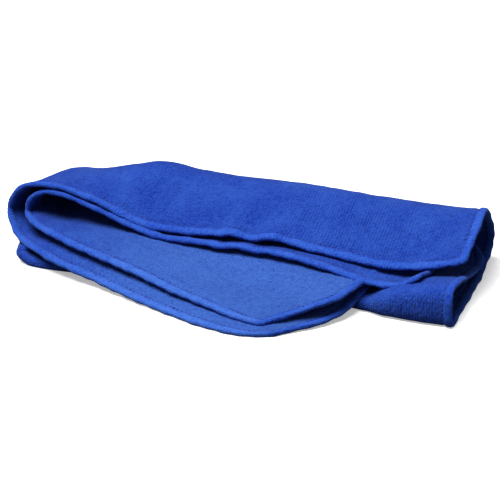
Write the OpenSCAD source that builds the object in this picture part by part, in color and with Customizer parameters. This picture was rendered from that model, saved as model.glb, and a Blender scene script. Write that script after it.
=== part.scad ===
// Microfibre polishing towel, folded in half along its length, folded over at the left,
// and folded in half again so that the back half lies under the front half.
// X runs along the folded strip to its open end, Y to the back fold, Z up.

/* [Towel] */
// Width of the open towel; its length is one and a half times this
towel_w = 400; // [320:10:440]
// Thickness of one ply of cloth
ply_t = 2.2; // [1.8:0.1:2.4]
// Distance between the middles of two plies that lie on each other
ply_pitch = 3.6; // [3.4:0.1:4.0]

/* [Edges] */
// Width of the hem round the edge
hem_w = 5; // [4:0.5:7]
// Thickness of the hem
hem_t = 3.2; // [2.8:0.1:3.4]
// Width of the line of stitching
stitch_w = 1.2; // [0.8:0.1:1.6]
// Height of the stitching above the cloth
stitch_h = 0.5; // [0.3:0.1:0.8]
// How deep the stitching bites into the cloth
stitch_bite = 0.3; // [0.2:0.1:0.6]

/* [Folds] */
// Height of the front fold at the open end
mouth_h = 23; // [18:1:25]
// How far the upper corner of the flap stands off the lower one
flap_lift = 9; // [4:1:9]
// How far the second ply is drawn back from the open end
draw_back = 30; // [10:1:32]
// How far the second ply sags under the raised back of the top ply
second_sag = 11; // [6:1:12]

/* [Hidden] */

cloth_blue = "#1f3fae";
hem_blue = "#2f58cf";
thread_blue = "#15308f";

// The rails are written for a towel 400 wide and scaled to towel_w
rail_w = 400;
size_k = towel_w / rail_w;
rail_l = 600;
// Flat distance from the open end to the turn at the left
turn_u = 335;
// Distance between two rails across a half of the towel, and the half itself
rail_gap = 50;
half_w = rail_w / 2;
// Flat length of cloth on either side of the front fold's middle
fold_run = 8;
// The lower edge of the middle of a ply that lies on the table
floor_z = ply_t / 2;
inset = hem_w / size_k;
// Flat distance between the hem and its line of stitching
hem_gap = 0.8;
stitch_in = inset + hem_gap;
stitch_out = stitch_in + stitch_w / size_k;
// Flat distance between two rows of stitching at a corner
corner_gap = 1;

// Rails of the outer ply. Each has a run from the open end to the left turn and a run back.
// Front edge of the top ply, round the big loop, then the front edge of the lowest ply
edge_out = [[324, 20, 32.5], [306, 20, 26.3], [284, 20, 22], [236, 20, 25], [208, 20, 28.5], [172, 20, 28],
            [139, 20, 28], [104, 20, 27], [65, 20, 42.5], [40, 20, 48.5], [15, 20, 43], [7, 19, 28]];
edge_back = [[7, 19, 28], [13, 12, 16], [45, -14, 12], [90, -27, 6], [140, -44, 2], [178, -56, 1.6],
             [200, -58, 1.6], [218, -53, 1.6]];
// Shoulder of the back fold
shoulder_out = [[329, 62, 51], [306, 65, 48], [260, 66, 50], [212, 66, 50.5], [130, 66, 51.5],
                [98, 66, 54.5], [78, 66, 48.8], [60, 66, 43.6], [32, 66, 39.5], [14, 64, 25]];
shoulder_back = [[14, 64, 25], [26, 58, 17], [62, 33, 17], [110, 18, 16.5], [165, -4, 11],
                 [215, -17, 6], [252, -21, 5]];
// Nose of the back fold
nose_out = [[327, 99, 14], [212, 100, 20], [96, 100, 20], [40, 98, 18], [15, 95, 12]];
nose_back = [[15, 95, 12], [32, 84, 15], [79, 76, 17], [127, 62, 17], [185, 40, 17], [268, 24, 14]];
// Middle of the half that is tucked under
under_out = [[326, 60, 0], [212, 58, 0], [96, 56, 0], [28, 50, 0], [11, 44, 7]];
under_back = [[11, 44, 7], [29, 56, 12], [96, 62, 12.3], [144, 70, 12.3], [200, 76, 13], [285, 62, 14]];
// Front fold, along the table
front_out = [[323, -1, 0], [298, -1, 0], [262, 2, 0], [212, 7, 0], [96, -4, 0], [60, -7, 0],
             [34, -6, 0], [22, -2, 7]];
front_back = [[22, -2, 7], [36, 6, 12], [113, 18, 12.3], [159, 31, 12.3], [210, 48, 12], [290, 78, 11]];
// Free edge of the inner ply: front edge of the second ply, the small loop, the flap's long edge
inner_out = [[299, 3, 25], [288, 3, 17.8], [262, 3, 17.3], [236, 5, 22], [208, 8, 24], [172, 11, 24],
             [139, 14, 23.5], [112, 15, 23], [98, 16, 26], [68, 18, 37], [46, 19, 43.5], [34, 19.5, 43.5],
             [23, 20, 37], [20, 19, 28]];
inner_back = [[20, 19, 28], [29, 8, 24], [52, -5, 21.5], [84, -14, 17.5], [121, -24, 13], [147, -33, 10],
              [171, -40, 7.5], [190, -45, 5.5], [208, -48, 5]];

// Height between the two plies at the front fold, by flat distance from the open end
mouth_table = [[0, mouth_h], [20, mouth_h - 2], [40, 17], [52, 13], [62, 6.5], [200, 4.2], [290, ply_pitch]];
// Height between the two plies elsewhere
spread_table = [[0, 7], [60, 4.6], [200, ply_pitch]];

// Stretches of the cloth over which a change in the folds comes in, from none of it to all of it.
// The first number of a name's pair is where none has come in. Names in _u run along, in _v across.
mouth_v = [140, 200];
lift_u = [500, 600];
lift_v = [0, 50];
lift_end_v = [100, 55];
sag_u = [310, 250];
sag_start_u = [-40, 20];
sag_v = [0, 16];
sag_end_v = [100, 60];
draw_u = [150, 0];
draw_v = [140, 80];
// Distance across the cloth within which the inner ply meets its free edge: sideways, and in height
// near the open end and beyond it
edge_reach = 60;
open_reach = 25;
open_reach_u = [100, 200];

// Grid stations: the turn at the left and the back fold get close ones
turn_zone = [252, 382];
back_zone = [70, 130];
out_steps = 14;
turn_steps = 20;
back_steps = 12;
fold_steps = 8;
flat_steps = 5;
arc_steps = 6;
// How blunt the front fold is, and how far it reaches past the plies' ends
fold_power = 0.7;
fold_reach = 7;

function cubic(p, q, m, n, x) =
    (2 * x ^ 3 - 3 * x ^ 2 + 1) * p + (x ^ 3 - 2 * x ^ 2 + x) * m
    + (3 * x ^ 2 - 2 * x ^ 3) * q + (x ^ 3 - x ^ 2) * n;
function ease(x) = let (y = min(1, max(0, x))) y * y * (3 - 2 * y);
function unit(v) = v / norm(v);
function sums(list) =
    [for (i = 0, total = 0; i <= len(list); total = total + (i < len(list) ? list[i] : 0), i = i + 1) total];
function chords(pts, from, to) =
    let (walked = sums([for (i = [1:len(pts) - 1]) norm(pts[i] - pts[i - 1])]), whole = walked[len(pts) - 1])
    [for (w = walked) from + (to - from) * w / whole];
function tail(list) = [for (i = [1:len(list) - 1]) list[i]];
function rise(x, stretch) = ease((x - stretch[0]) / (stretch[1] - stretch[0]));
function steps(from, to, count) = [for (i = [0:count]) from + (to - from) * i / count];
// A rail is its list of flat distances and its list of points
function rail(out, back) =
    [concat(chords(out, 0, turn_u), tail(chords(back, turn_u, rail_l))), concat(out, tail(back))];
function slope(knots, pts, i) =
    let (last = len(knots) - 1, a = max(0, i - 1), b = min(last, i + 1))
    i == 0 || i == last ? (pts[b] - pts[a]) / (knots[b] - knots[a])
    : let (h0 = knots[i] - knots[a], h1 = knots[b] - knots[i])
      ((pts[i] - pts[a]) / h0 * h1 + (pts[b] - pts[i]) / h1 * h0) / (h0 + h1);
function span_of(knots, u) = min(len(knots) - 2, len([for (k = knots) if (k <= u) k]) - 1);
function along(knots, pts, u) =
    let (i = span_of(knots, u), h = knots[i + 1] - knots[i])
    cubic(pts[i], pts[i + 1], h * slope(knots, pts, i), h * slope(knots, pts, i + 1), (u - knots[i]) / h);
function on_rail(r, u) = along(r[0], r[1], u);
function rested(p) = [p[0], p[1], max(p[2], floor_z)];

u_grid = concat(steps(0, turn_zone[0], out_steps), tail(steps(turn_zone[0], turn_zone[1], turn_steps)),
                tail(steps(turn_zone[1], rail_l, back_steps)));
v_grid = concat(steps(0, back_zone[0], flat_steps), tail(steps(back_zone[0], back_zone[1], fold_steps)),
                tail(steps(back_zone[1], half_w, flat_steps)));
rails = [rail(edge_out, edge_back), rail(shoulder_out, shoulder_back), rail(nose_out, nose_back),
         rail(under_out, under_back), rail(front_out, front_back)];
inner_rail = rail(inner_out, inner_back);
rail_v = [for (i = [0:len(rails) - 1]) i * rail_gap];

function mouth(u) = lookup(u, mouth_table);
function spread(u, v) =
    lookup(u, spread_table) + (mouth(u) - lookup(u, spread_table)) * rise(v, mouth_v)
    + flap_lift * rise(u, lift_u) * rise(v, lift_v) * rise(v, lift_end_v)
    + second_sag * rise(u, sag_u) * rise(u, sag_start_u) * rise(v, sag_v) * rise(v, sag_end_v);
function drawn(u, v) = draw_back * rise(u, draw_u) * rise(v, draw_v);

// Surface normals and directions of a grid of points, from each point's neighbours
function clamp_at(list, i) = list[max(0, min(len(list) - 1, i))];
function along_u(g, i, j) = unit(clamp_at(g, i + 1)[j] - clamp_at(g, i - 1)[j]);
function along_v(g, i, j) = unit(clamp_at(g[i], j + 1) - clamp_at(g[i], j - 1));
function normal_at(g, i, j) = unit(cross(along_u(g, i, j), along_v(g, i, j)));

// Middle of the outer ply, one row of points for each flat distance u
outer = [for (u = u_grid) let (pts = [for (r = rails) on_rail(r, u)])
         [for (v = v_grid) rested(along(rail_v, pts, v))]];
last_v = len(v_grid) - 1;

function inner_base(i, j) =
    outer[i][j] + normal_at(outer, i, j) * spread(u_grid[i], v_grid[j])
    + along_u(outer, i, j) * drawn(u_grid[i], v_grid[j]);
function inner_point(i, j) =
    let (shift = on_rail(inner_rail, u_grid[i]) - inner_base(i, 0))
    let (reach = open_reach + (edge_reach - open_reach) * rise(u_grid[i], open_reach_u))
    let (side = rise(v_grid[j], [edge_reach, 0]), lift = rise(v_grid[j], [reach, 0]))
    rested(inner_base(i, j) + [shift[0] * side, shift[1] * side, shift[2] * lift]);
function blunt(x) = sign(x) * abs(x) ^ fold_power;
function front_point(i, a) =
    let (h = mouth(u_grid[i]) / 2, lift = h * (1 - blunt(cos(a))), reach = min(h, fold_reach) * blunt(sin(a)))
    rested(outer[i][last_v] + normal_at(outer, i, last_v) * lift + along_v(outer, i, last_v) * reach);

// Middle of the whole towel, from the top ply's edge round the front fold to the second ply's edge
t_grid = concat([for (v = v_grid) v * (half_w - fold_run) / half_w],
                [for (k = [1:arc_steps - 1]) half_w + fold_run * (2 * k / arc_steps - 1)],
                [for (j = [last_v:-1:0]) rail_w - v_grid[j] * (half_w - fold_run) / half_w]);
middle = [for (i = [0:len(u_grid) - 1]) concat(outer[i],
          [for (k = [1:arc_steps - 1]) front_point(i, 180 * k / arc_steps)],
          [for (j = [last_v:-1:0]) inner_point(i, j)])];
normals = [for (i = [0:len(u_grid) - 1]) [for (j = [0:len(t_grid) - 1]) normal_at(middle, i, j)]];

function lowest(k) = min([for (row = middle) for (p = row) p[k]]);
function highest(k) = max([for (row = middle) for (p = row) p[k]]);
centre = [(lowest(0) + highest(0)) / 2, (lowest(1) + highest(1)) / 2, 0];

// A point of the towel at flat distances u and t, h above the middle of the ply on its outer face
function mix(a, b, x) = a + (b - a) * x;
function cell(grid, x) = min(len(grid) - 2, max(0, len([for (g = grid) if (g <= x) g]) - 1));
function patch(g, i, j, x, y) = mix(mix(g[i][j], g[i + 1][j], x), mix(g[i][j + 1], g[i + 1][j + 1], x), y);
function cloth_point(u, t, h) =
    let (i = cell(u_grid, u), j = cell(t_grid, t))
    let (x = (u - u_grid[i]) / (u_grid[i + 1] - u_grid[i]), y = (t - t_grid[j]) / (t_grid[j + 1] - t_grid[j]))
    let (p = (patch(middle, i, j, x, y) - centre) * size_k - unit(patch(normals, i, j, x, y)) * h)
    [p[0], p[1], max(p[2], 0)];

// Stations from one place to another: the grid's own, except those within near_by of either
near_by = 1;
function between(grid, from, to) =
    concat([from], [for (g = grid) if (g > from + near_by && g < to - near_by) g], [to]);

// A closed piece of cloth over a stretch of the flat towel, between two heights above the ply's middle
module cloth_piece(u_from, u_to, t_from, t_to, low, high) {
    us = between(u_grid, u_from, u_to);
    ts = between(t_grid, t_from, t_to);
    m = len(ts);
    n = len(us);
    under = n * m;
    points = [for (h = [high, low]) for (u = us) for (t = ts) cloth_point(u, t, h)];
    top = [for (i = [0:n - 2]) for (j = [0:m - 2]) for (f = [[0, 1, m], [m, 1, m + 1]])
           [for (k = f) i * m + j + k]];
    bottom = [for (f = top) [f[2] + under, f[1] + under, f[0] + under]];
    rim = concat([for (j = [0:m - 2]) j], [for (i = [0:n - 2]) i * m + m - 1],
                 [for (j = [m - 1:-1:1]) (n - 1) * m + j], [for (i = [n - 1:-1:1]) i * m]);
    count = len(rim);
    walls = [for (k = [0:count - 1]) let (a = rim[k], b = rim[(k + 1) % count])
             for (f = [[a, a + under, b], [b, a + under, b + under]]) f];
    polyhedron(points, concat(top, bottom, walls), convexity = 10);
}

far_u = rail_l - inset;
far_t = rail_w - inset;

module cloth_panel() {
    color(cloth_blue) cloth_piece(inset, far_u, inset, far_t, -ply_t / 2, ply_t / 2);
}

// Hems run between the end hems, which take the corners
module long_hem(t_from, t_to) {
    color(hem_blue) cloth_piece(inset, far_u, t_from, t_to, -hem_t / 2, hem_t / 2);
}

module end_hem(u_from, u_to) {
    color(hem_blue) cloth_piece(u_from, u_to, 0, rail_w, -hem_t / 2, hem_t / 2);
}

module top_long_hem() {
    long_hem(0, inset);
}

module second_long_hem() {
    long_hem(far_t, rail_w);
}

module open_end_hem() {
    end_hem(0, inset);
}

module flap_end_hem() {
    end_hem(far_u, rail_l);
}

// Stitching lies on the outer face of the cloth, just inside the hem
module stitching(u_from, u_to, t_from, t_to) {
    color(thread_blue) cloth_piece(u_from, u_to, t_from, t_to, ply_t / 2 - stitch_bite, ply_t / 2 + stitch_h);
}

module top_long_stitching() {
    stitching(stitch_out, rail_l - stitch_out, stitch_in, stitch_out);
}

module second_long_stitching() {
    stitching(stitch_out, rail_l - stitch_out, rail_w - stitch_out, rail_w - stitch_in);
}

module open_end_stitching() {
    stitching(stitch_in, stitch_out, stitch_out + corner_gap, rail_w - stitch_out - corner_gap);
}

module flap_end_stitching() {
    stitching(rail_l - stitch_out, rail_l - stitch_in, stitch_out + corner_gap,
              rail_w - stitch_out - corner_gap);
}

cloth_panel();
top_long_hem();
second_long_hem();
open_end_hem();
flap_end_hem();
top_long_stitching();
second_long_stitching();
open_end_stitching();
flap_end_stitching();
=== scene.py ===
"""A microfibre polishing towel, folded in half and laid over on itself: cloth, hems and stitching."""

import logging
import math
from dataclasses import dataclass
from dataclasses import field
from enum import Enum

import bmesh
import bpy
import numpy as np
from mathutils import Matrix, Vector


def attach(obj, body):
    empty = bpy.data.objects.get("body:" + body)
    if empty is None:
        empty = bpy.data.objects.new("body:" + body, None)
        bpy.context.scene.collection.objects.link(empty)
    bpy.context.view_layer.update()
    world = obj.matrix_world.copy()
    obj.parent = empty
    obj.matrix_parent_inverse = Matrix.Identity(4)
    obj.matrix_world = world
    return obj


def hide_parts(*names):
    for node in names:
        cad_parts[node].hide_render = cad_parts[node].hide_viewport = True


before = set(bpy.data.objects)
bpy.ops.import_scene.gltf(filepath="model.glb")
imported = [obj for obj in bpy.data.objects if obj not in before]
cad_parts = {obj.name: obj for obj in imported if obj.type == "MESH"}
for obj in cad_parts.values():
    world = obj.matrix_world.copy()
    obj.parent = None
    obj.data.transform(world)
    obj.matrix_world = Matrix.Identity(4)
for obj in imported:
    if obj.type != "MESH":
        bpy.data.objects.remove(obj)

LOG = logging.getLogger("towel")
MM = 0.001
BODY = "root"
FLAT_MAP = "flat_place"
FACING = "facing"
TURN = 2.0 * math.pi
HALF = 0.5
TINY = 1e-9

Point = tuple[float, float, float]
Colour = tuple[float, float, float, float]
Array = np.ndarray
Table = tuple[tuple[float, float], ...]
Stretch = tuple[float, float]

# Stretches of the cloth, in millimetres, over which a change in the folds comes in, from none of it to
# all of it. Names in _U run along the cloth, in _V across it.
MOUTH_V: Stretch = (140.0, 200.0)
LIFT_U: Stretch = (500.0, 600.0)
LIFT_V: Stretch = (0.0, 50.0)
LIFT_END_V: Stretch = (100.0, 55.0)
SAG_U: Stretch = (310.0, 250.0)
SAG_START_U: Stretch = (-40.0, 20.0)
SAG_V: Stretch = (0.0, 16.0)
SAG_END_V: Stretch = (100.0, 60.0)
DRAW_U: Stretch = (150.0, 0.0)
DRAW_V: Stretch = (140.0, 80.0)
OPEN_REACH_U: Stretch = (100.0, 200.0)


def ease(x: Array | float) -> Array | float:
    """A smooth step from 0 at x = 0 to 1 at x = 1."""
    y = np.clip(x, 0.0, 1.0)
    return y * y * (3.0 - 2.0 * y)


def rise(x: Array, stretch: Stretch) -> Array:
    """A smooth step from 0 at the stretch's first place to 1 at its second."""
    return ease((x - stretch[0]) / (stretch[1] - stretch[0]))


def bump_at(x: Array, middle: float, reach: float) -> Array:
    """A smooth hump of height 1 at middle that is gone at reach on either side of it."""
    return ease(1.0 - np.abs(x - middle) / reach)


def unit(vectors: Array) -> Array:
    """Rows of vectors, each made one long."""
    return vectors / np.maximum(np.linalg.norm(vectors, axis=-1, keepdims=True), TINY)


def read_table(x: Array, table: Table) -> Array:
    """Values of a table of (place, value) pairs at x, on straight lines between its places."""
    places = np.array(table, float)
    return np.interp(x, places[:, 0], places[:, 1])


def curve_through(knots: Array, points: Array, x: Array) -> Array:
    """A smooth curve through points.

    Args:
        knots: the place of each point along the curve, rising.
        points: the points, one row each, or one block of rows for each x.
        x: the places that are asked for.

    Returns:
        One point for each x.
    """
    blocks = points if points.ndim == 3 else np.broadcast_to(points, (len(x), *points.shape))
    steps = np.diff(knots)
    slopes = np.diff(blocks, axis=1) / steps[None, :, None]
    tangents = np.empty_like(blocks, dtype=float)
    tangents[:, 0] = slopes[:, 0]
    tangents[:, -1] = slopes[:, -1]
    shares = (steps[1:] / (steps[1:] + steps[:-1]))[None, :, None]
    tangents[:, 1:-1] = slopes[:, :-1] * shares + slopes[:, 1:] * (1.0 - shares)
    cell = np.clip(np.searchsorted(knots, x, side="right") - 1, 0, len(knots) - 2)
    rows = np.arange(len(x))
    wide = steps[cell][:, None]
    y = ((x - knots[cell]) / steps[cell])[:, None]
    first = (2 * y**3 - 3 * y**2 + 1) * blocks[rows, cell]
    second = (3 * y**2 - 2 * y**3) * blocks[rows, cell + 1]
    leave = (y**3 - 2 * y**2 + y) * wide * tangents[rows, cell]
    arrive = (y**3 - y**2) * wide * tangents[rows, cell + 1]
    return first + second + leave + arrive


@dataclass(frozen=True)
class Rail:
    """A lengthwise line of the folded cloth, in millimetres: a run out to the left turn and a run back."""

    out: tuple[Point, ...]
    back: tuple[Point, ...]

    def at(self, u: Array, turn: float, length: float) -> Array:
        """Points of the rail.

        Args:
            u: flat distances from the open end.
            turn: flat distance at which the run back starts.
            length: flat distance at which the run back ends.

        Returns:
            One point for each u.
        """
        there = np.array(self.out, float)
        back = np.array(self.back, float)
        knots = np.concatenate([self._spaced(there, 0.0, turn), self._spaced(back, turn, length)[1:]])
        return curve_through(knots, np.concatenate([there, back[1:]]), u)

    @staticmethod
    def _spaced(points: Array, start: float, stop: float) -> Array:
        """Flat distances from start to stop, spread over points as their straight steps are."""
        walked = np.concatenate([[0.0], np.cumsum(np.linalg.norm(np.diff(points, axis=0), axis=1))])
        return start + (stop - start) * walked / walked[-1]


TOP_EDGE = Rail(
    out=((324, 20, 32.5), (306, 20, 26.3), (284, 20, 22), (236, 20, 25), (208, 20, 28.5), (172, 20, 28),
         (139, 20, 28), (104, 20, 27), (65, 20, 42.5), (40, 20, 48.5), (15, 20, 43), (7, 19, 28)),
    back=((7, 19, 28), (13, 12, 16), (45, -14, 12), (90, -27, 6), (140, -44, 2), (178, -56, 1.6),
          (200, -58, 1.6), (218, -53, 1.6)))
SHOULDER = Rail(
    out=((329, 62, 51), (306, 65, 48), (260, 66, 50), (212, 66, 50.5), (130, 66, 51.5),
         (98, 66, 54.5), (78, 66, 48.8), (60, 66, 43.6), (32, 66, 39.5), (14, 64, 25)),
    back=((14, 64, 25), (26, 58, 17), (62, 33, 17), (110, 18, 16.5), (165, -4, 11),
          (215, -17, 6), (252, -21, 5)))
BACK_NOSE = Rail(
    out=((327, 99, 14), (212, 100, 20), (96, 100, 20), (40, 98, 18), (15, 95, 12)),
    back=((15, 95, 12), (32, 84, 15), (79, 76, 17), (127, 62, 17), (185, 40, 17), (268, 24, 14)))
TUCKED = Rail(
    out=((326, 60, 0), (212, 58, 0), (96, 56, 0), (28, 50, 0), (11, 44, 7)),
    back=((11, 44, 7), (29, 56, 12), (96, 62, 12.3), (144, 70, 12.3), (200, 76, 13), (285, 62, 14)))
FRONT_FOLD = Rail(
    out=((323, -1, 0), (298, -1, 0), (262, 2, 0), (212, 7, 0), (96, -4, 0), (60, -7, 0),
         (34, -6, 0), (22, -2, 7)),
    back=((22, -2, 7), (36, 6, 12), (113, 18, 12.3), (159, 31, 12.3), (210, 48, 12), (290, 78, 11)))
SECOND_EDGE = Rail(
    out=((299, 3, 25), (288, 3, 17.8), (262, 3, 17.3), (236, 5, 22), (208, 8, 24), (172, 11, 24),
         (139, 14, 23.5), (112, 15, 23), (98, 16, 26), (68, 18, 37), (46, 19, 43.5), (34, 19.5, 43.5),
         (23, 20, 37), (20, 19, 28)),
    back=((20, 19, 28), (29, 8, 24), (52, -5, 21.5), (84, -14, 17.5), (121, -24, 13), (147, -33, 10),
          (171, -40, 7.5), (190, -45, 5.5), (208, -48, 5)))


@dataclass(frozen=True)
class Lift:
    """A place where an edge of the cloth stands up or sinks: flat distance, reach and height."""

    u: float
    reach: float
    height: float


@dataclass(frozen=True)
class Waves:
    """Soft unevenness of the laid cloth, one smooth field in space, so that plies keep their distance."""

    seed: int = 7
    count: int = 14
    shortest: float = 38.0
    longest: float = 120.0
    height: float = 0.32
    sideways: float = 0.22
    steepness: float = 0.35
    floor_reach: float = 14.0

    def moved(self, points: Array) -> Array:
        """Points moved by the field, less and less towards the floor."""
        chance = np.random.default_rng(self.seed)
        shift = np.zeros_like(points)
        for _ in range(self.count):
            heading = unit(chance.normal(size=3) * (1.0, 1.0, self.steepness))
            size = chance.uniform(self.shortest, self.longest)
            phase = chance.uniform(0.0, TURN)
            wave = np.sin(points @ heading * (TURN / size) + phase)
            push = chance.normal(size=3) * (self.sideways, self.sideways, self.height)
            shift += wave[:, None] * push
        shift *= ease(points[:, 2] / self.floor_reach)[:, None]
        return points + shift


@dataclass(frozen=True)
class FoldedCloth:
    """The middle surface of the folded towel, in millimetres.

    A place on the cloth is (u, t): u runs from the open end to the flap's end, t from the top
    ply's front edge round the back, the tuck and the front fold to the second ply's front edge.
    """

    width: float = 400.0
    length: float = 600.0
    turn: float = 335.0
    rail_gap: float = 50.0
    fold_run: float = 8.0
    ply_pitch: float = 3.6
    rest_height: float = 1.1
    mouth: float = 23.0
    mouth_drop: float = 2.0
    mouth_drop_at: float = 20.0
    mouth_shape: Table = ((40, 17), (52, 13), (62, 6.5), (200, 4.2))
    mouth_end: float = 290.0
    spread_shape: Table = ((0, 7.0), (60, 4.6))
    spread_end: float = 200.0
    edge_reach: float = 60.0
    open_reach: float = 25.0
    flap_lift: float = 9.0
    draw_back: float = 30.0
    second_sag: float = 11.0
    fold_reach: float = 7.0
    fold_power: float = 0.7
    probe: float = 1.6
    frame_step_u: float = 3.0
    frame_step_v: float = 2.0
    top_lift_reach: float = 34.0
    second_lift_reach: float = 30.0
    centre_samples: tuple[int, int] = (241, 161)
    rails: tuple[Rail, ...] = (TOP_EDGE, SHOULDER, BACK_NOSE, TUCKED, FRONT_FOLD)
    second_edge: Rail = SECOND_EDGE
    top_lifts: tuple[Lift, ...] = (Lift(161, 11, 1.6), Lift(146, 9, -1.2), Lift(131, 12, 1.5),
                                   Lift(192, 18, -0.9), Lift(108, 12, -0.7))
    second_lifts: tuple[Lift, ...] = (Lift(161, 10, -1.0), Lift(146, 8, 0.5), Lift(131, 11, -1.0))
    waves: Waves = field(default_factory=Waves)

    @property
    def half(self) -> float:
        """Flat depth of one half of the towel."""
        return self.rail_gap * (len(self.rails) - 1)

    def rested(self, points: Array) -> Array:
        """Points, none of them lower than cloth that lies on the floor."""
        points[:, 2] = np.maximum(points[:, 2], self.rest_height)
        return points

    def outer(self, u: Array, v: Array) -> Array:
        """Points of the outer ply, v from its front edge to the front fold."""
        lines = np.stack([rail.at(u, self.turn, self.length) for rail in self.rails], axis=1)
        places = np.arange(len(self.rails)) * self.rail_gap
        return self.rested(curve_through(places, lines, v))

    def outer_frame(self, u: Array, v: Array) -> tuple[Array, Array, Array]:
        """Directions of the outer ply along u and v, and the side on which the inner ply lies."""
        high_u = np.minimum(u + self.frame_step_u, self.length)
        low_u = np.maximum(u - self.frame_step_u, 0.0)
        high_v = np.minimum(v + self.frame_step_v, self.half)
        low_v = np.maximum(v - self.frame_step_v, 0.0)
        along_u = self.outer(high_u, v) - self.outer(low_u, v)
        along_v = self.outer(u, high_v) - self.outer(u, low_v)
        return unit(along_u), unit(along_v), unit(np.cross(along_u, along_v))

    def mouth_at(self, u: Array) -> Array:
        """Height between the plies at the front fold."""
        start = ((0.0, self.mouth), (self.mouth_drop_at, self.mouth - self.mouth_drop))
        return read_table(u, (*start, *self.mouth_shape, (self.mouth_end, self.ply_pitch)))

    def spread_at(self, u: Array, v: Array) -> Array:
        """Height between the plies away from the front fold."""
        plain = read_table(u, (*self.spread_shape, (self.spread_end, self.ply_pitch)))
        opened = plain + (self.mouth_at(u) - plain) * rise(v, MOUTH_V)
        lift = rise(u, LIFT_U) * rise(v, LIFT_V) * rise(v, LIFT_END_V)
        sag = rise(u, SAG_U) * rise(u, SAG_START_U) * rise(v, SAG_V) * rise(v, SAG_END_V)
        return opened + self.flap_lift * lift + self.second_sag * sag

    def inner_base(self, u: Array, v: Array) -> Array:
        """The inner ply before its free edge is put in place."""
        along_u, _, side = self.outer_frame(u, v)
        drawn = self.draw_back * rise(u, DRAW_U) * rise(v, DRAW_V)
        return self.outer(u, v) + side * self.spread_at(u, v)[:, None] + along_u * drawn[:, None]

    def inner(self, u: Array, v: Array) -> Array:
        """Points of the inner ply, v from its free edge to the front fold."""
        shift = self.second_edge.at(u, self.turn, self.length) - self.inner_base(u, np.zeros_like(u))
        reach = self.open_reach + (self.edge_reach - self.open_reach) * rise(u, OPEN_REACH_U)
        side = 1.0 - ease(v / self.edge_reach)
        upward = 1.0 - ease(v / reach)
        return self.rested(self.inner_base(u, v) + shift * np.stack([side, side, upward], axis=1))

    def front_fold(self, u: Array, turn: Array) -> Array:
        """Points round the front fold, turn from 0 at the outer ply to pi at the inner one."""
        edge = np.full_like(u, self.half)
        _, along_v, side = self.outer_frame(u, edge)
        tall = self.mouth_at(u) / 2.0
        cosine = np.cos(turn)
        lift = tall * (1.0 - np.sign(cosine) * np.abs(cosine) ** self.fold_power)
        reach = np.minimum(tall, self.fold_reach) * np.abs(np.sin(turn)) ** self.fold_power
        return self.rested(self.outer(u, edge) + side * lift[:, None] + along_v * reach[:, None])

    def lifts_at(self, u: Array, lifts: tuple[Lift, ...]) -> Array:
        """Sum of an edge's lifts at u."""
        return sum((lift.height * bump_at(u, lift.u, lift.reach) for lift in lifts), np.zeros_like(u))

    def middle(self, u: Array, t: Array) -> Array:
        """Points of the middle surface, before they are centred."""
        flat = self.half - self.fold_run
        points = np.empty((len(u), 3))
        out = t <= flat
        back = t >= self.width - flat
        fold = ~(out | back)
        grow = self.half / flat
        if out.any():
            points[out] = self.outer(u[out], t[out] * grow)
            fade = ease(1.0 - t[out] / self.top_lift_reach)
            points[out, 2] += self.lifts_at(u[out], self.top_lifts) * fade
        if back.any():
            v = (self.width - t[back]) * grow
            points[back] = self.inner(u[back], v)
            fade = ease(1.0 - v / self.second_lift_reach)
            points[back, 2] += self.lifts_at(u[back], self.second_lifts) * fade
        if fold.any():
            points[fold] = self.front_fold(u[fold], (t[fold] - flat) / (2.0 * self.fold_run) * math.pi)
        return points

    def centre(self) -> Array:
        """Middle of the box that the cloth's middle surface fills, on the floor."""
        count_u, count_t = self.centre_samples
        places = np.meshgrid(np.linspace(0, self.length, count_u), np.linspace(0, self.width, count_t))
        u, t = (grid.ravel() for grid in places)
        points = self.middle(u, t)
        both = (points.min(axis=0) + points.max(axis=0)) / 2.0
        return np.array([both[0], both[1], 0.0])


@dataclass
class LaidCloth:
    """The folded cloth in its place, which every piece of the towel is built on."""

    shape: FoldedCloth
    origin: Array = field(init=False)

    def __post_init__(self) -> None:
        """Finds the row's origin once."""
        self.origin = self.shape.centre()

    def points(self, u: Array, t: Array) -> Array:
        """Points of the cloth's middle, in millimetres in the row's frame."""
        limit_u = np.clip(u, 0.0, self.shape.length)
        limit_t = np.clip(t, 0.0, self.shape.width)
        return self.shape.waves.moved(self.shape.middle(limit_u, limit_t)) - self.origin

    def frames(self, u: Array, t: Array) -> tuple[Array, Array, Array, Array]:
        """Points of the cloth's middle with their directions.

        Args:
            u: flat distances from the open end.
            t: flat distances from the top ply's front edge.

        Returns:
            The points, the directions along u and t, and the outward side of the folded towel.
        """
        step = self.shape.probe
        low_u = np.clip(u - step, 0.0, self.shape.length)
        high_u = np.clip(u + step, 0.0, self.shape.length)
        low_t = np.clip(t - step, 0.0, self.shape.width)
        high_t = np.clip(t + step, 0.0, self.shape.width)
        along_u = unit(self.points(high_u, t) - self.points(low_u, t))
        along_t = unit(self.points(u, high_t) - self.points(u, low_t))
        return self.points(u, t), along_u, along_t, -unit(np.cross(along_u, along_t))


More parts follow.
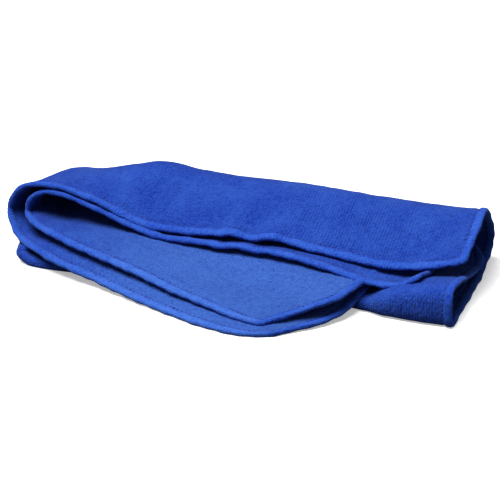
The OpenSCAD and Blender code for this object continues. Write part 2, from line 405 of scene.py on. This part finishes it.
class Term:
    """A number in a node tree. Python's operators on it add Math nodes."""

    def __init__(self, bench: "Bench", socket: bpy.types.NodeSocket) -> None:
        """Wraps a socket of the bench's tree."""
        self.bench = bench
        self.socket = socket

    def math(self, operation: str, *others: "Term | float", swapped: bool = False) -> "Term":
        """Adds a Math node.

        Args:
            operation: the Math node's operation.
            others: the other numbers.
            swapped: True where the other number comes first.

        Returns:
            The result.
        """
        values = [*others, self] if swapped else [self, *others]
        node = self.bench.add("ShaderNodeMath", {"operation": operation}, dict(enumerate(values)))
        return Term(self.bench, node.outputs[0])

    def __add__(self, other: "Term | float") -> "Term":
        """self + other."""
        return self.math("ADD", other)

    __radd__ = __add__

    def __sub__(self, other: "Term | float") -> "Term":
        """self - other."""
        return self.math("SUBTRACT", other)

    def __rsub__(self, other: "Term | float") -> "Term":
        """other - self."""
        return self.math("SUBTRACT", other, swapped=True)

    def __mul__(self, other: "Term | float") -> "Term":
        """self * other."""
        return self.math("MULTIPLY", other)

    __rmul__ = __mul__

    def __truediv__(self, other: "Term | float") -> "Term":
        """self / other."""
        return self.math("DIVIDE", other)

    def sine(self) -> "Term":
        """Sine of the number in radians."""
        return self.math("SINE")

    def clamped(self) -> "Term":
        """The number, held between 0 and 1."""
        return self.math("MAXIMUM", 0.0).math("MINIMUM", 1.0)


class Bench:
    """Adds nodes to one node tree, of a material or of Geometry Nodes."""

    def __init__(self, tree: bpy.types.NodeTree) -> None:
        """Starts on a tree without nodes."""
        self.tree = tree
        self.tree.nodes.clear()

    def add(self, kind: str, settings: dict[str, object] | None = None,
            sockets: dict[str | int, object] | None = None) -> bpy.types.Node:
        """Adds any node.

        Args:
            kind: the node's type.
            settings: its properties, set first.
            sockets: values, Terms or sockets for its inputs, by identifier, name or place.

        Returns:
            The node.
        """
        node = self.tree.nodes.new(kind)
        for name, value in (settings or {}).items():
            setattr(node, name, value)
        for key, value in (sockets or {}).items():
            self._feed(self._input(node, key), value)
        return node

    def value(self, node: bpy.types.Node, output: str | int = 0) -> Term:
        """An output of a node as a Term."""
        return Term(self, self.output(node, output))

    def mix(self, share: "Term | float", low: object, high: object) -> bpy.types.NodeSocket:
        """A colour between low and high."""
        node = self.add("ShaderNodeMix", {"data_type": "RGBA"},
                        {"Factor_Float": share, "A_Color": low, "B_Color": high})
        return self.output(node, "Result_Color")

    def output(self, node: bpy.types.Node, key: str | int) -> bpy.types.NodeSocket:
        """An output of a node by identifier, name or place."""
        return self._socket(node.outputs, key)

    def _input(self, node: bpy.types.Node, key: str | int) -> bpy.types.NodeSocket:
        """An input of a node by identifier, name or place."""
        return self._socket(node.inputs, key)

    @staticmethod
    def _socket(sockets: bpy.types.bpy_prop_collection, key: str | int) -> bpy.types.NodeSocket:
        """A socket by identifier, name or place."""
        if isinstance(key, int):
            return sockets[key]
        for socket in sockets:
            if socket.identifier == key:
                return socket
        return sockets[key]

    def _feed(self, target: bpy.types.NodeSocket, value: object) -> None:
        """Links a Term or a socket to target, or sets its value."""
        if isinstance(value, Term):
            self.tree.links.new(value.socket, target)
        elif isinstance(value, bpy.types.NodeSocket):
            self.tree.links.new(value, target)
        else:
            target.default_value = value


class Slot(Enum):
    """The record's material slots."""

    CLOTH = "microfibre_cloth"
    HEM = "hem_cloth"
    THREAD = "stitching_thread"


@dataclass(frozen=True)
class MicrofibreFinish:
    """Looped microfibre: rows of small loops across the strip, softer where the pile is brushed, with painted
    shade in the grooves and a painted sheen towards the flap's end.
    """

    name: str
    painted_groove_shade: Colour
    full: Colour
    bright: Colour
    painted_sheen: Colour
    row_pitch: float = 2.05
    loop_size: float = 1.15
    row_share: float = 0.25
    combed_from: float = 175.0
    combed_reach: float = 60.0
    painted_sheen_from: float = 375.0
    painted_sheen_reach: float = 100.0
    loop_height: float = 0.75
    roughness: float = 0.92
    sheen: float = 0.18
    sheen_roughness: float = 0.45
    sheen_tint: Colour = (0.42, 0.58, 1.0, 1.0)
    specular: float = 0.15
    warp_scale: float = 0.11
    crushed_scale: float = 0.27
    fine_scale: float = 0.62
    patch_scale: float = 0.05
    soft_detail: float = 2.0
    patch_detail: float = 3.0
    fine_detail: float = 4.0
    loop_chance: float = 0.9
    row_warp: float = 4.0
    row_jitter: float = 2.2
    loop_share: float = 0.7
    fine_share: float = 0.8
    crushed_share: float = 0.8
    shade_gain: float = 1.05
    shade_start: float = 0.78
    patch_gain: float = 2.2
    patch_start: float = 0.85
    patch_share: float = 0.5
    painted_sheen_base: float = 0.25
    painted_sheen_gain: float = 0.6
    bump_depth: float = 1.3

    def _noise(self, bench: Bench, flat: bpy.types.Node, scale: float, detail: float) -> Term:
        """A soft noise on the flat map, scale in waves to the millimetre."""
        inputs = {"Vector": flat.outputs[0], "Scale": scale, "Detail": detail}
        node = bench.add("ShaderNodeTexNoise", {}, inputs)
        return bench.value(node, "Fac")

    def make(self) -> bpy.types.Material:
        """Builds the material on the cloth's own flat map."""
        material = bpy.data.materials.new(self.name)
        material.use_nodes = True
        bench = Bench(material.node_tree)
        place = bench.add("ShaderNodeUVMap", {"uv_map": FLAT_MAP})
        flat = bench.add("ShaderNodeVectorMath", {"operation": "SCALE"},
                         {0: place.outputs["UV"], "Scale": 1.0 / MM})
        warp = self._noise(bench, flat, self.warp_scale, self.soft_detail)
        fine = self._noise(bench, flat, self.fine_scale, self.fine_detail)
        patch = self._noise(bench, flat, self.patch_scale, self.patch_detail)
        crushed = self._noise(bench, flat, self.crushed_scale, self.soft_detail)
        axes = bench.add("ShaderNodeSeparateXYZ", {}, {0: flat.outputs[0]})
        along = bench.value(axes, "X")
        phase = along * (TURN / self.row_pitch) + warp * self.row_warp + fine * self.row_jitter
        rows = phase.sine() * HALF + HALF
        cells = bench.add("ShaderNodeTexVoronoi", {"feature": "F1"}, {
            "Vector": flat.outputs[0],
            "Scale": 1.0 / self.loop_size,
            "Randomness": self.loop_chance,
        })
        loops = 1.0 - bench.value(cells, "Distance")
        combed = ((self.combed_from - along) / self.combed_reach).clamped()
        height = rows * combed * self.row_share + loops * self.loop_share
        height = height + fine * self.fine_share + crushed * self.crushed_share
        # Painted shade: where the pile's height is low, in the grooves between the loops and rows, the colour
        # goes towards its darkest blue.
        shade = (height * self.shade_gain - self.shade_start).clamped()
        colour = bench.mix(shade, self.painted_groove_shade, self.full)
        spotted = (patch * self.patch_gain - self.patch_start).clamped() * self.patch_share
        colour = bench.mix(spotted, colour, self.bright)
        # Painted sheen: past a given distance along the flat map, towards the flap's end of the cloth, the
        # colour is mixed towards a paler, less saturated blue, most on the loop tops.
        painted_sheen_share = ((along - self.painted_sheen_from) / self.painted_sheen_reach).clamped()
        colour = bench.mix(painted_sheen_share * (self.painted_sheen_base + shade * self.painted_sheen_gain), colour, self.painted_sheen)
        bump = bench.add("ShaderNodeBump", {}, {
            "Strength": self.loop_height,
            "Distance": self.bump_depth * MM,
            "Height": height,
        })
        surface = bench.add("ShaderNodeBsdfPrincipled", {}, {
            "Base Color": colour,
            "Roughness": self.roughness,
            "Specular IOR Level": self.specular,
            "Sheen Weight": self.sheen,
            "Sheen Roughness": self.sheen_roughness,
            "Sheen Tint": self.sheen_tint,
            "Normal": bump.outputs[0],
        })
        bench.add("ShaderNodeOutputMaterial", {}, {"Surface": surface.outputs[0]})
        return material


@dataclass(frozen=True)
class ThreadFinish:
    """Twisted polyester thread, with fine strands and a soft shine."""

    name: str
    dark: Colour
    light: Colour
    strand: float = 0.45
    detail: float = 2.0
    roughness: float = 0.6
    specular: float = 0.25
    sheen: float = 0.2
    bump_strength: float = 0.5
    bump_depth: float = 0.2

    def make(self) -> bpy.types.Material:
        """Builds the material on object coordinates."""
        material = bpy.data.materials.new(self.name)
        material.use_nodes = True
        bench = Bench(material.node_tree)
        place = bench.add("ShaderNodeTexCoord")
        noise = bench.add("ShaderNodeTexNoise", {}, {
            "Vector": place.outputs["Object"],
            "Scale": 1.0 / (self.strand * MM),
            "Detail": self.detail,
        })
        colour = bench.mix(bench.value(noise, "Fac"), self.dark, self.light)
        bump = bench.add("ShaderNodeBump", {}, {
            "Strength": self.bump_strength,
            "Distance": self.bump_depth * MM,
            "Height": bench.value(noise, "Fac"),
        })
        surface = bench.add("ShaderNodeBsdfPrincipled", {}, {
            "Base Color": colour,
            "Roughness": self.roughness,
            "Specular IOR Level": self.specular,
            "Sheen Weight": self.sheen,
            "Normal": bump.outputs[0],
        })
        bench.add("ShaderNodeOutputMaterial", {}, {"Surface": surface.outputs[0]})
        return material


CLOTH_FINISH = MicrofibreFinish(
    "microfibre_cloth",
    painted_groove_shade=(0.006, 0.026, 0.22, 1.0),
    full=(0.025, 0.078, 0.37, 1.0),
    bright=(0.040, 0.112, 0.42, 1.0),
    painted_sheen=(0.062, 0.150, 0.43, 1.0))
HEM_FINISH = MicrofibreFinish(
    "hem_cloth",
    painted_groove_shade=(0.010, 0.040, 0.27, 1.0),
    full=(0.036, 0.108, 0.45, 1.0),
    bright=(0.055, 0.145, 0.50, 1.0),
    painted_sheen=(0.066, 0.160, 0.48, 1.0),
    row_share=0.2,
    loop_height=0.4)
THREAD_FINISH = ThreadFinish(
    "stitching_thread",
    dark=(0.006, 0.022, 0.20, 1.0),
    light=(0.016, 0.055, 0.32, 1.0))


@dataclass(frozen=True)
class FloorFinish:
    """Plain pale floor."""

    name: str = "pale_floor"
    colour: Colour = (0.82, 0.82, 0.82, 1.0)
    cast: Colour = (0.16, 0.16, 0.17, 1.0)
    dark: Colour = (0.0, 0.0, 0.0, 1.0)
    lift: Colour = (0.34, 0.34, 0.34, 1.0)
    roughness: float = 0.8
    specular: float = 0.1

    def make(self) -> bpy.types.Material:
        """Builds the plain material, which throws little light back at the towel."""
        material = bpy.data.materials.new(self.name)
        material.use_nodes = True
        bench = Bench(material.node_tree)
        path = bench.add("ShaderNodeLightPath")
        seen = bench.mix(bench.value(path, "Is Camera Ray"), self.cast, self.colour)
        glow = bench.mix(bench.value(path, "Is Camera Ray"), self.dark, self.lift)
        surface = bench.add("ShaderNodeBsdfPrincipled", {}, {
            "Base Color": seen,
            "Roughness": self.roughness,
            "Specular IOR Level": self.specular,
            "Emission Color": glow,
            "Emission Strength": 1.0,
        })
        bench.add("ShaderNodeOutputMaterial", {}, {"Surface": surface.outputs[0]})
        return material


def make_mesh(name: str, points: Array, faces: list[tuple[int, ...]],
              flat: Array | None = None) -> bpy.types.Object:
    """Makes a smooth mesh object at the origin.

    Args:
        name: the piece's name.
        points: its points, in millimetres.
        faces: its faces, as places in points.
        flat: the flat place of each point on the open towel, in millimetres.

    Returns:
        The object, linked to the scene.
    """
    mesh = bpy.data.meshes.new(name)
    mesh.from_pydata((points * MM).tolist(), [], faces)
    mesh.validate()
    if flat is not None:
        layer = mesh.uv_layers.new(name=FLAT_MAP)
        order = np.empty(len(mesh.loops), dtype=np.int32)
        mesh.loops.foreach_get("vertex_index", order)
        layer.data.foreach_set("uv", (flat[order] * MM).astype(np.float32).ravel())
    mesh.polygons.foreach_set("use_smooth", [True] * len(mesh.polygons))
    mesh.update()
    piece = bpy.data.objects.new(name, mesh)
    bpy.context.scene.collection.objects.link(piece)
    return piece


def stations(start: float, stop: float, step: float, close: tuple[float, ...]) -> Array:
    """Places from start to stop.

    Args:
        start: the first place.
        stop: the last place.
        step: the greatest distance between two places.
        close: distances from both ends that get a place of their own.

    Returns:
        The rising places.
    """
    near = [start + gap for gap in close]
    far = [stop - gap for gap in reversed(close)]
    inner_start = near[-1]
    inner_stop = far[0]
    count = int(math.ceil((inner_stop - inner_start) / step))
    between = np.linspace(inner_start, inner_stop, count + 1)[1:-1]
    return np.array([start, *near, *between, *far, stop])


@dataclass
class ClothPanel:
    """The looped cloth itself, one closed sheet with a pinched line where the stitching runs."""

    laid: LaidCloth
    finish: MicrofibreFinish
    name: str = "microfibre_panel"
    node: str = "cloth_panel"
    slot: Slot = Slot.CLOTH
    start: float = 2.6
    step_u: float = 2.7
    step_t: float = 2.6
    close: tuple[float, ...] = (1.7, 2.8, 3.6, 4.4, 5.2, 6.2, 7.6, 9.4)
    half_ply: float = 1.15
    stitch_line: float = 6.2
    pinch_reach: float = 1.6
    pinch_share: float = 0.42
    pucker: float = 0.16
    pucker_seed: int = 21
    pucker_count: int = 26
    pucker_sizes: Stretch = (9.0, 26.0)

    def _puckers(self, u: Array, t: Array, seed: int) -> Array:
        """Small seeded unevenness of the pile's height."""
        chance = np.random.default_rng(seed)
        total = np.zeros_like(u)
        for _ in range(self.pucker_count):
            size = chance.uniform(*self.pucker_sizes)
            angle = chance.uniform(0.0, math.pi)
            phase = chance.uniform(0.0, TURN)
            total += np.sin((u * math.cos(angle) + t * math.sin(angle)) * (TURN / size) + phase)
        return total * self.pucker / math.sqrt(self.pucker_count)

    def build(self) -> bpy.types.Object:
        """Builds both faces and the rim."""
        shape = self.laid.shape
        us = stations(self.start, shape.length - self.start, self.step_u, self.close)
        ts = stations(self.start, shape.width - self.start, self.step_t, self.close)
        u, t = (grid.ravel() for grid in np.meshgrid(us, ts, indexing="ij"))
        points, _, _, side = self.laid.frames(u, t)
        rim = np.minimum(np.minimum(u, shape.length - u), np.minimum(t, shape.width - t))
        pinch = 1.0 - self.pinch_share * bump_at(rim, self.stitch_line, self.pinch_reach)
        outer = points + side * (self.half_ply * pinch + self._puckers(u, t, self.pucker_seed))[:, None]
        inner = points - side * (self.half_ply * pinch + self._puckers(u, t, self.pucker_seed + 1))[:, None]
        both = np.concatenate([outer, inner])
        both[:, 2] = np.maximum(both[:, 2], 0.0)
        rows = len(us)
        columns = len(ts)
        under = rows * columns
        corner = (np.arange(rows - 1)[:, None] * columns + np.arange(columns - 1)[None, :]).ravel()
        upper = np.stack([corner, corner + 1, corner + columns + 1, corner + columns], axis=1)
        lower = upper[:, ::-1] + under
        faces = [tuple(face) for face in np.concatenate([upper, lower]).tolist()]
        loop = [*range(columns), *(i * columns + columns - 1 for i in range(1, rows)),
                *((rows - 1) * columns + j for j in range(columns - 2, -1, -1)),
                *(i * columns for i in range(rows - 2, 0, -1))]
        faces += [(loop[k], loop[k] + under, loop[(k + 1) % len(loop)] + under, loop[(k + 1) % len(loop)])
                  for k in range(len(loop))]
        flat = np.concatenate([np.stack([u, t], axis=1)] * 2)
        panel = make_mesh(self.name, both, faces, flat)
        panel.data.materials.append(self.finish.make())
        return panel


class Edge(Enum):
    """The towel's four edges, by the names of their nodes."""

    TOP_LONG = "top_long"
    SECOND_LONG = "second_long"
    OPEN_END = "open_end"
    FLAP_END = "flap_end"

    @property
    def is_long(self) -> bool:
        """True for the two long edges."""
        return self in (Edge.TOP_LONG, Edge.SECOND_LONG)

    def run(self, shape: FoldedCloth, short_of: float) -> tuple[float, float]:
        """Start and end of the edge along itself, short of the corners."""
        return short_of, (shape.length if self.is_long else shape.width) - short_of

    def places(self, shape: FoldedCloth, along: Array, inset: float) -> tuple[Array, Array]:
        """Flat places on a line inside the edge.

        Args:
            shape: the folded cloth.
            along: distances along the edge.
            inset: distance of the line from the edge.

        Returns:
            u and t of each place.
        """
        far = (shape.width if self is Edge.SECOND_LONG else shape.length) - inset
        across = far if self in (Edge.SECOND_LONG, Edge.FLAP_END) else inset
        level = np.full_like(along, across)
        return (along, level) if self.is_long else (level, along)

    def inward(self, along_u: Array, along_t: Array) -> Array:
        """Direction from the edge towards the middle of the cloth."""
        way = along_t if self.is_long else along_u
        return -way if self in (Edge.SECOND_LONG, Edge.FLAP_END) else way


@dataclass
class Hem:
    """A narrow rolled hem, whipped over with thread, with a rounded band for its section."""

    laid: LaidCloth
    edge: Edge
    finish: MicrofibreFinish
    slot: Slot = Slot.HEM
    half_width: float = 2.7
    half_height: float = 1.75
    middle: float = 2.5
    step: float = 0.62
    sides: int = 14
    squareness: float = 0.8
    whip_pitch: float = 2.3
    whip_height: float = 0.17
    swell: float = 0.14
    swell_size: float = 17.0
    end_rounding: float = 2.4
    end_opening: float = 0.04
    swell_beat: float = 2.7
    phase_step: float = 0.3
    long_short_of: float = 2.2
    flat_side: float = 0.8

    def _blunted(self, value: float) -> float:
        """A sine or cosine, blunted towards a squarer section."""
        return math.copysign(abs(value) ** self.squareness, value)

    @property
    def name(self) -> str:
        """The piece's name."""
        return f"{self.edge.value}_hem_band"

    @property
    def node(self) -> str:
        """The node that it replaces."""
        return f"{self.edge.value}_hem"

    def build(self) -> bpy.types.Object:
        """Sweeps the section along the edge and closes both ends."""
        shape = self.laid.shape
        short_of = self.long_short_of if self.edge.is_long else 0.0
        start, stop = self.edge.run(shape, short_of)
        along = np.linspace(start, stop, int((stop - start) / self.step))
        u, t = self.edge.places(shape, along, self.middle)
        points, along_u, along_t, side = self.laid.frames(u, t)
        inward = self.edge.inward(along_u, along_t)
        phase = self.phase_step * list(Edge).index(self.edge)
        from_end = np.minimum(along - start, stop - along)
        rounded = np.sqrt(np.clip(from_end / self.end_rounding + self.end_opening, 0.0, 1.0))
        slow = np.sin(TURN * along / (self.swell_size * self.swell_beat) + 2.0 * phase)
        grow = rounded * (1.0 + self.swell * np.sin(TURN * along / self.swell_size + phase) * slow)
        rings = []
        for k in range(self.sides):
            turn = TURN * k / self.sides
            ridge = HALF + HALF * np.cos(TURN * along / self.whip_pitch + turn * HALF + phase)
            wide = self._blunted(math.cos(turn)) * (self.half_width + self.whip_height * ridge) * grow
            tall = self._blunted(math.sin(turn)) * (self.half_height + self.whip_height * ridge) * grow
            rings.append(points + inward * wide[:, None] + side * tall[:, None])
        cloud = np.stack(rings, axis=1).reshape(-1, 3)
        cloud[:, 2] = np.maximum(cloud[:, 2], 0.0)
        count = len(along)
        faces = [(i * self.sides + k, i * self.sides + (k + 1) % self.sides,
                  (i + 1) * self.sides + (k + 1) % self.sides, (i + 1) * self.sides + k)
                 for i in range(count - 1) for k in range(self.sides)]
        faces.append(tuple(range(self.sides))[::-1])
        faces.append(tuple((count - 1) * self.sides + k for k in range(self.sides)))
        around = np.tile(np.arange(self.sides) * self.flat_side, count)
        flat = np.stack([np.repeat(along, self.sides), around], axis=1)
        band = make_mesh(self.name, cloud, faces, flat)
        point_outward(band)
        band.data.materials.append(self.finish.make())
        return band


def point_outward(piece: bpy.types.Object) -> None:
    """Turns a closed mesh's faces outwards."""
    work = bmesh.new()
    work.from_mesh(piece.data)
    bmesh.ops.recalc_face_normals(work, faces=work.faces)
    work.to_mesh(piece.data)
    work.free()
    piece.data.update()


@dataclass(frozen=True)
class StitchTree:
    """The Geometry Nodes that set stitches along a line on the cloth."""

    name: str = "stitches_along_line"
    segments: int = 6
    rings: int = 4

    def make(self) -> bpy.types.NodeTree:
        """Builds the tree with its named inputs."""
        tree = bpy.data.node_groups.new(self.name, "GeometryNodeTree")
        face = tree.interface
        face.new_socket(name="Line", in_out="INPUT", socket_type="NodeSocketGeometry")
        for name in ("Pitch", "Stitch Length", "Thread Width", "Thread Height", "Unevenness"):
            face.new_socket(name=name, in_out="INPUT", socket_type="NodeSocketFloat")
        face.new_socket(name="Seed", in_out="INPUT", socket_type="NodeSocketInt")
        face.new_socket(name="Thread", in_out="INPUT", socket_type="NodeSocketMaterial")
        face.new_socket(name="Stitches", in_out="OUTPUT", socket_type="NodeSocketGeometry")
        bench = Bench(tree)
        given = bench.add("NodeGroupInput")
        line = bench.add("GeometryNodeMeshToCurve", {}, {"Mesh": given.outputs["Line"]})
        spaced = bench.add("GeometryNodeResampleCurve", {"mode": "LENGTH"},
                           {"Curve": line.outputs[0], "Length": given.outputs["Pitch"]})
        tangent = bench.add("GeometryNodeInputTangent")
        facing = bench.add("GeometryNodeInputNamedAttribute", {"data_type": "FLOAT_VECTOR"}, {"Name": FACING})
        aim = bench.add("FunctionNodeAlignRotationToVector", {"axis": "X"}, {"Vector": tangent.outputs[0]})
        stand = bench.add("FunctionNodeAlignRotationToVector", {"axis": "Z", "pivot_axis": "X"},
                          {"Rotation": aim.outputs[0], "Vector": bench.output(facing, "Attribute")})
        chance = bench.add("FunctionNodeRandomValue", {"data_type": "FLOAT"},
                           {"Min_001": 0.0, "Max_001": given.outputs["Unevenness"],
                            "Seed": given.outputs["Seed"]})
        share = 1.0 - bench.value(chance, "Value_001")
        size = bench.add("ShaderNodeCombineXYZ", {}, {
            "X": bench.value(given, "Stitch Length") * share * HALF,
            "Y": bench.value(given, "Thread Width") * HALF,
            "Z": bench.value(given, "Thread Height") * HALF,
        })
        stitch = bench.add("GeometryNodeMeshUVSphere", {},
                           {"Segments": self.segments, "Rings": self.rings, "Radius": 1.0})
        placed = bench.add("GeometryNodeInstanceOnPoints", {}, {
            "Points": spaced.outputs[0],
            "Instance": stitch.outputs[0],
            "Rotation": stand.outputs[0],
            "Scale": size.outputs[0],
        })
        real = bench.add("GeometryNodeRealizeInstances", {}, {"Geometry": placed.outputs[0]})
        smooth = bench.add("GeometryNodeSetShadeSmooth", {}, {0: real.outputs[0]})
        dressed = bench.add("GeometryNodeSetMaterial", {}, {"Geometry": smooth.outputs[0],
                                                            "Material": given.outputs["Thread"]})
        bench.add("NodeGroupOutput", {}, {"Stitches": dressed.outputs[0]})
        return tree


def settle_nodes(piece: bpy.types.Object, tree: bpy.types.NodeTree,
                 values: dict[str, object]) -> bpy.types.Object:
    """Runs a Geometry Nodes tree on a piece and keeps the result as a plain mesh.

    Args:
        piece: the object that the tree starts from.
        tree: the tree.
        values: its inputs by name.

    Returns:
        The same object with its new mesh and no modifier.
    """
    modifier = piece.modifiers.new(tree.name, "NODES")
    modifier.node_group = tree
    for name, value in values.items():
        modifier[tree.interface.items_tree[name].identifier] = value
    bpy.context.view_layer.update()
    graph = bpy.context.evaluated_depsgraph_get()
    result = bpy.data.meshes.new_from_object(piece.evaluated_get(graph))
    piece.modifiers.remove(modifier)
    piece.data = result
    result.name = piece.name
    return piece


@dataclass
class StitchRow:
    """Lockstitch on both faces of the cloth, just inside one hem."""

    laid: LaidCloth
    edge: Edge
    tree: bpy.types.NodeTree
    thread: bpy.types.Material
    slot: Slot = Slot.THREAD
    inset: float = 6.3
    short_of: float = 7.6
    height: float = 0.72
    pitch: float = 3.3
    stitch_length: float = 2.9
    thread_width: float = 0.8
    thread_height: float = 0.62
    unevenness: float = 0.18
    seed: int = 3
    step: float = 1.5

    @property
    def name(self) -> str:
        """The piece's name."""
        return f"{self.edge.value}_stitch_row"

    @property
    def node(self) -> str:
        """The node that it replaces."""
        return f"{self.edge.value}_stitching"

    def build(self) -> bpy.types.Object:
        """Draws the two lines and sets the stitches along them."""
        shape = self.laid.shape
        start, stop = self.edge.run(shape, self.short_of)
        along = np.linspace(start, stop, int((stop - start) / self.step))
        u, t = self.edge.places(shape, along, self.inset)
        points, _, _, side = self.laid.frames(u, t)
        cloud = np.concatenate([points + side * self.height, points - side * self.height])
        cloud[:, 2] = np.maximum(cloud[:, 2], self.thread_height / 2.0)
        count = len(along)
        links = [(i + k * count, i + k * count + 1) for k in range(2) for i in range(count - 1)]
        mesh = bpy.data.meshes.new(self.name)
        mesh.from_pydata((cloud * MM).tolist(), links, [])
        facing = mesh.attributes.new(FACING, "FLOAT_VECTOR", "POINT")
        facing.data.foreach_set("vector", np.concatenate([side, -side]).astype(np.float32).ravel())
        row = bpy.data.objects.new(self.name, mesh)
        bpy.context.scene.collection.objects.link(row)
        return settle_nodes(row, self.tree, {
            "Pitch": self.pitch * MM,
            "Stitch Length": self.stitch_length * MM,
            "Thread Width": self.thread_width * MM,
            "Thread Height": self.thread_height * MM,
            "Unevenness": self.unevenness,
            "Seed": self.seed,
            "Thread": self.thread,
        })


@dataclass(frozen=True)
class Lamp:
    """A soft round light: its angles in degrees, distance and size in metres, and power in watts."""

    name: str
    azimuth: float
    elevation: float
    far: float
    size: float
    power: float


@dataclass
class Studio:
    """Pale floor, soft lights and the camera."""

    origin: Array
    azimuth: float = 18.0
    elevation: float = 26.0
    distance: float = 1250.0
    scale: float = 0.687
    picture: float = 500.0
    sensor: float = 36.0
    aim: Point = (166.42, 62.09, 0.0)
    floor_size: float = 12.0
    clip: Stretch = (0.05, 50.0)
    key: Lamp = Lamp("key_light", azimuth=-30.0, elevation=70.0, far=1.9, size=1.2, power=54.0)
    sky_strength: float = 0.24
    sky_colour: Colour = (1.0, 1.0, 1.0, 1.0)
    view_transform: str = "Standard"
    look: str = "Medium High Contrast"

    def back(self, azimuth: float, elevation: float) -> Vector:
        """Direction from the towel to a place at these angles."""
        a = math.radians(azimuth)
        e = math.radians(elevation)
        return Vector((math.sin(a) * math.cos(e), -math.cos(a) * math.cos(e), math.sin(e)))

    def _floor(self) -> None:
        """Lays the floor."""
        half = self.floor_size / 2.0
        corners = np.array([(-half, -half, 0), (half, -half, 0), (half, half, 0), (-half, half, 0)])
        floor = make_mesh("floor", corners / MM, [(0, 1, 2, 3)])
        floor.data.materials.append(FloorFinish().make())

    def _light(self, lamp: Lamp) -> None:
        """Hangs one soft light that looks at the towel."""
        data = bpy.data.lights.new(lamp.name, "AREA")
        data.shape = "DISK"
        data.size = lamp.size
        data.energy = lamp.power
        holder = bpy.data.objects.new(lamp.name, data)
        bpy.context.scene.collection.objects.link(holder)
        way = self.back(lamp.azimuth, lamp.elevation)
        holder.location = way * lamp.far
        holder.rotation_euler = (-way).to_track_quat("-Z", "Y").to_euler()

    def _sky(self) -> None:
        """Makes the even white surroundings."""
        world = bpy.data.worlds.new("surroundings")
        world.use_nodes = True
        bench = Bench(world.node_tree)
        inputs = {"Color": self.sky_colour, "Strength": self.sky_strength}
        glow = bench.add("ShaderNodeBackground", {}, inputs)
        bench.add("ShaderNodeOutputWorld", {}, {"Surface": glow.outputs[0]})
        bpy.context.scene.world = world

    def _camera(self) -> None:
        """Sets the camera."""
        data = bpy.data.cameras.new("camera")
        data.sensor_width = self.sensor
        data.lens = self.sensor * (self.distance / self.scale) / self.picture
        data.clip_start, data.clip_end = self.clip
        camera = bpy.data.objects.new("camera", data)
        bpy.context.scene.collection.objects.link(camera)
        way = self.back(self.azimuth, self.elevation)
        target = Vector(tuple((np.array(self.aim) - self.origin) * MM))
        camera.location = target + way * (self.distance * MM)
        camera.rotation_euler = (-way).to_track_quat("-Z", "Y").to_euler()
        bpy.context.scene.camera = camera

    def build(self) -> None:
        """Builds the whole studio."""
        self._camera()
        self._floor()
        self._light(self.key)
        self._sky()
        bpy.context.scene.view_settings.view_transform = self.view_transform
        bpy.context.scene.view_settings.look = self.look


@dataclass
class Towel:
    """The whole towel, built piece by piece."""

    laid: LaidCloth
    cloth: MicrofibreFinish
    hem: MicrofibreFinish
    thread: ThreadFinish

    def _finish(self, piece: bpy.types.Object, part: "ClothPanel | Hem | StitchRow") -> bpy.types.Object:
        """Makes a piece ride, names what it replaces, and reports it."""
        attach(piece, BODY)
        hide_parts(part.node)
        LOG.info("%s: %d faces, stands for %s", piece.name, len(piece.data.polygons), part.node)
        return piece

    def build(self) -> None:
        panel_part = ClothPanel(self.laid, self.cloth)
        panel = self._finish(panel_part.build(), panel_part)
        thread = self.thread.make()
        tree = StitchTree().make()
        for edge in Edge:
            hem = Hem(self.laid, edge, self.hem)
            self._finish(hem.build(), hem)
            row = StitchRow(self.laid, edge, tree, thread)
            self._finish(row.build(), row)


def main() -> None:
    """Builds the towel and the studio."""
    logging.basicConfig(level=logging.INFO, format="%(name)s: %(message)s")
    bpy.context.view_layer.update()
    laid = LaidCloth(FoldedCloth())
    Studio(laid.origin).build()
    Towel(laid, CLOTH_FINISH, HEM_FINISH, THREAD_FINISH).build()


if __name__ == "__main__":
    main()
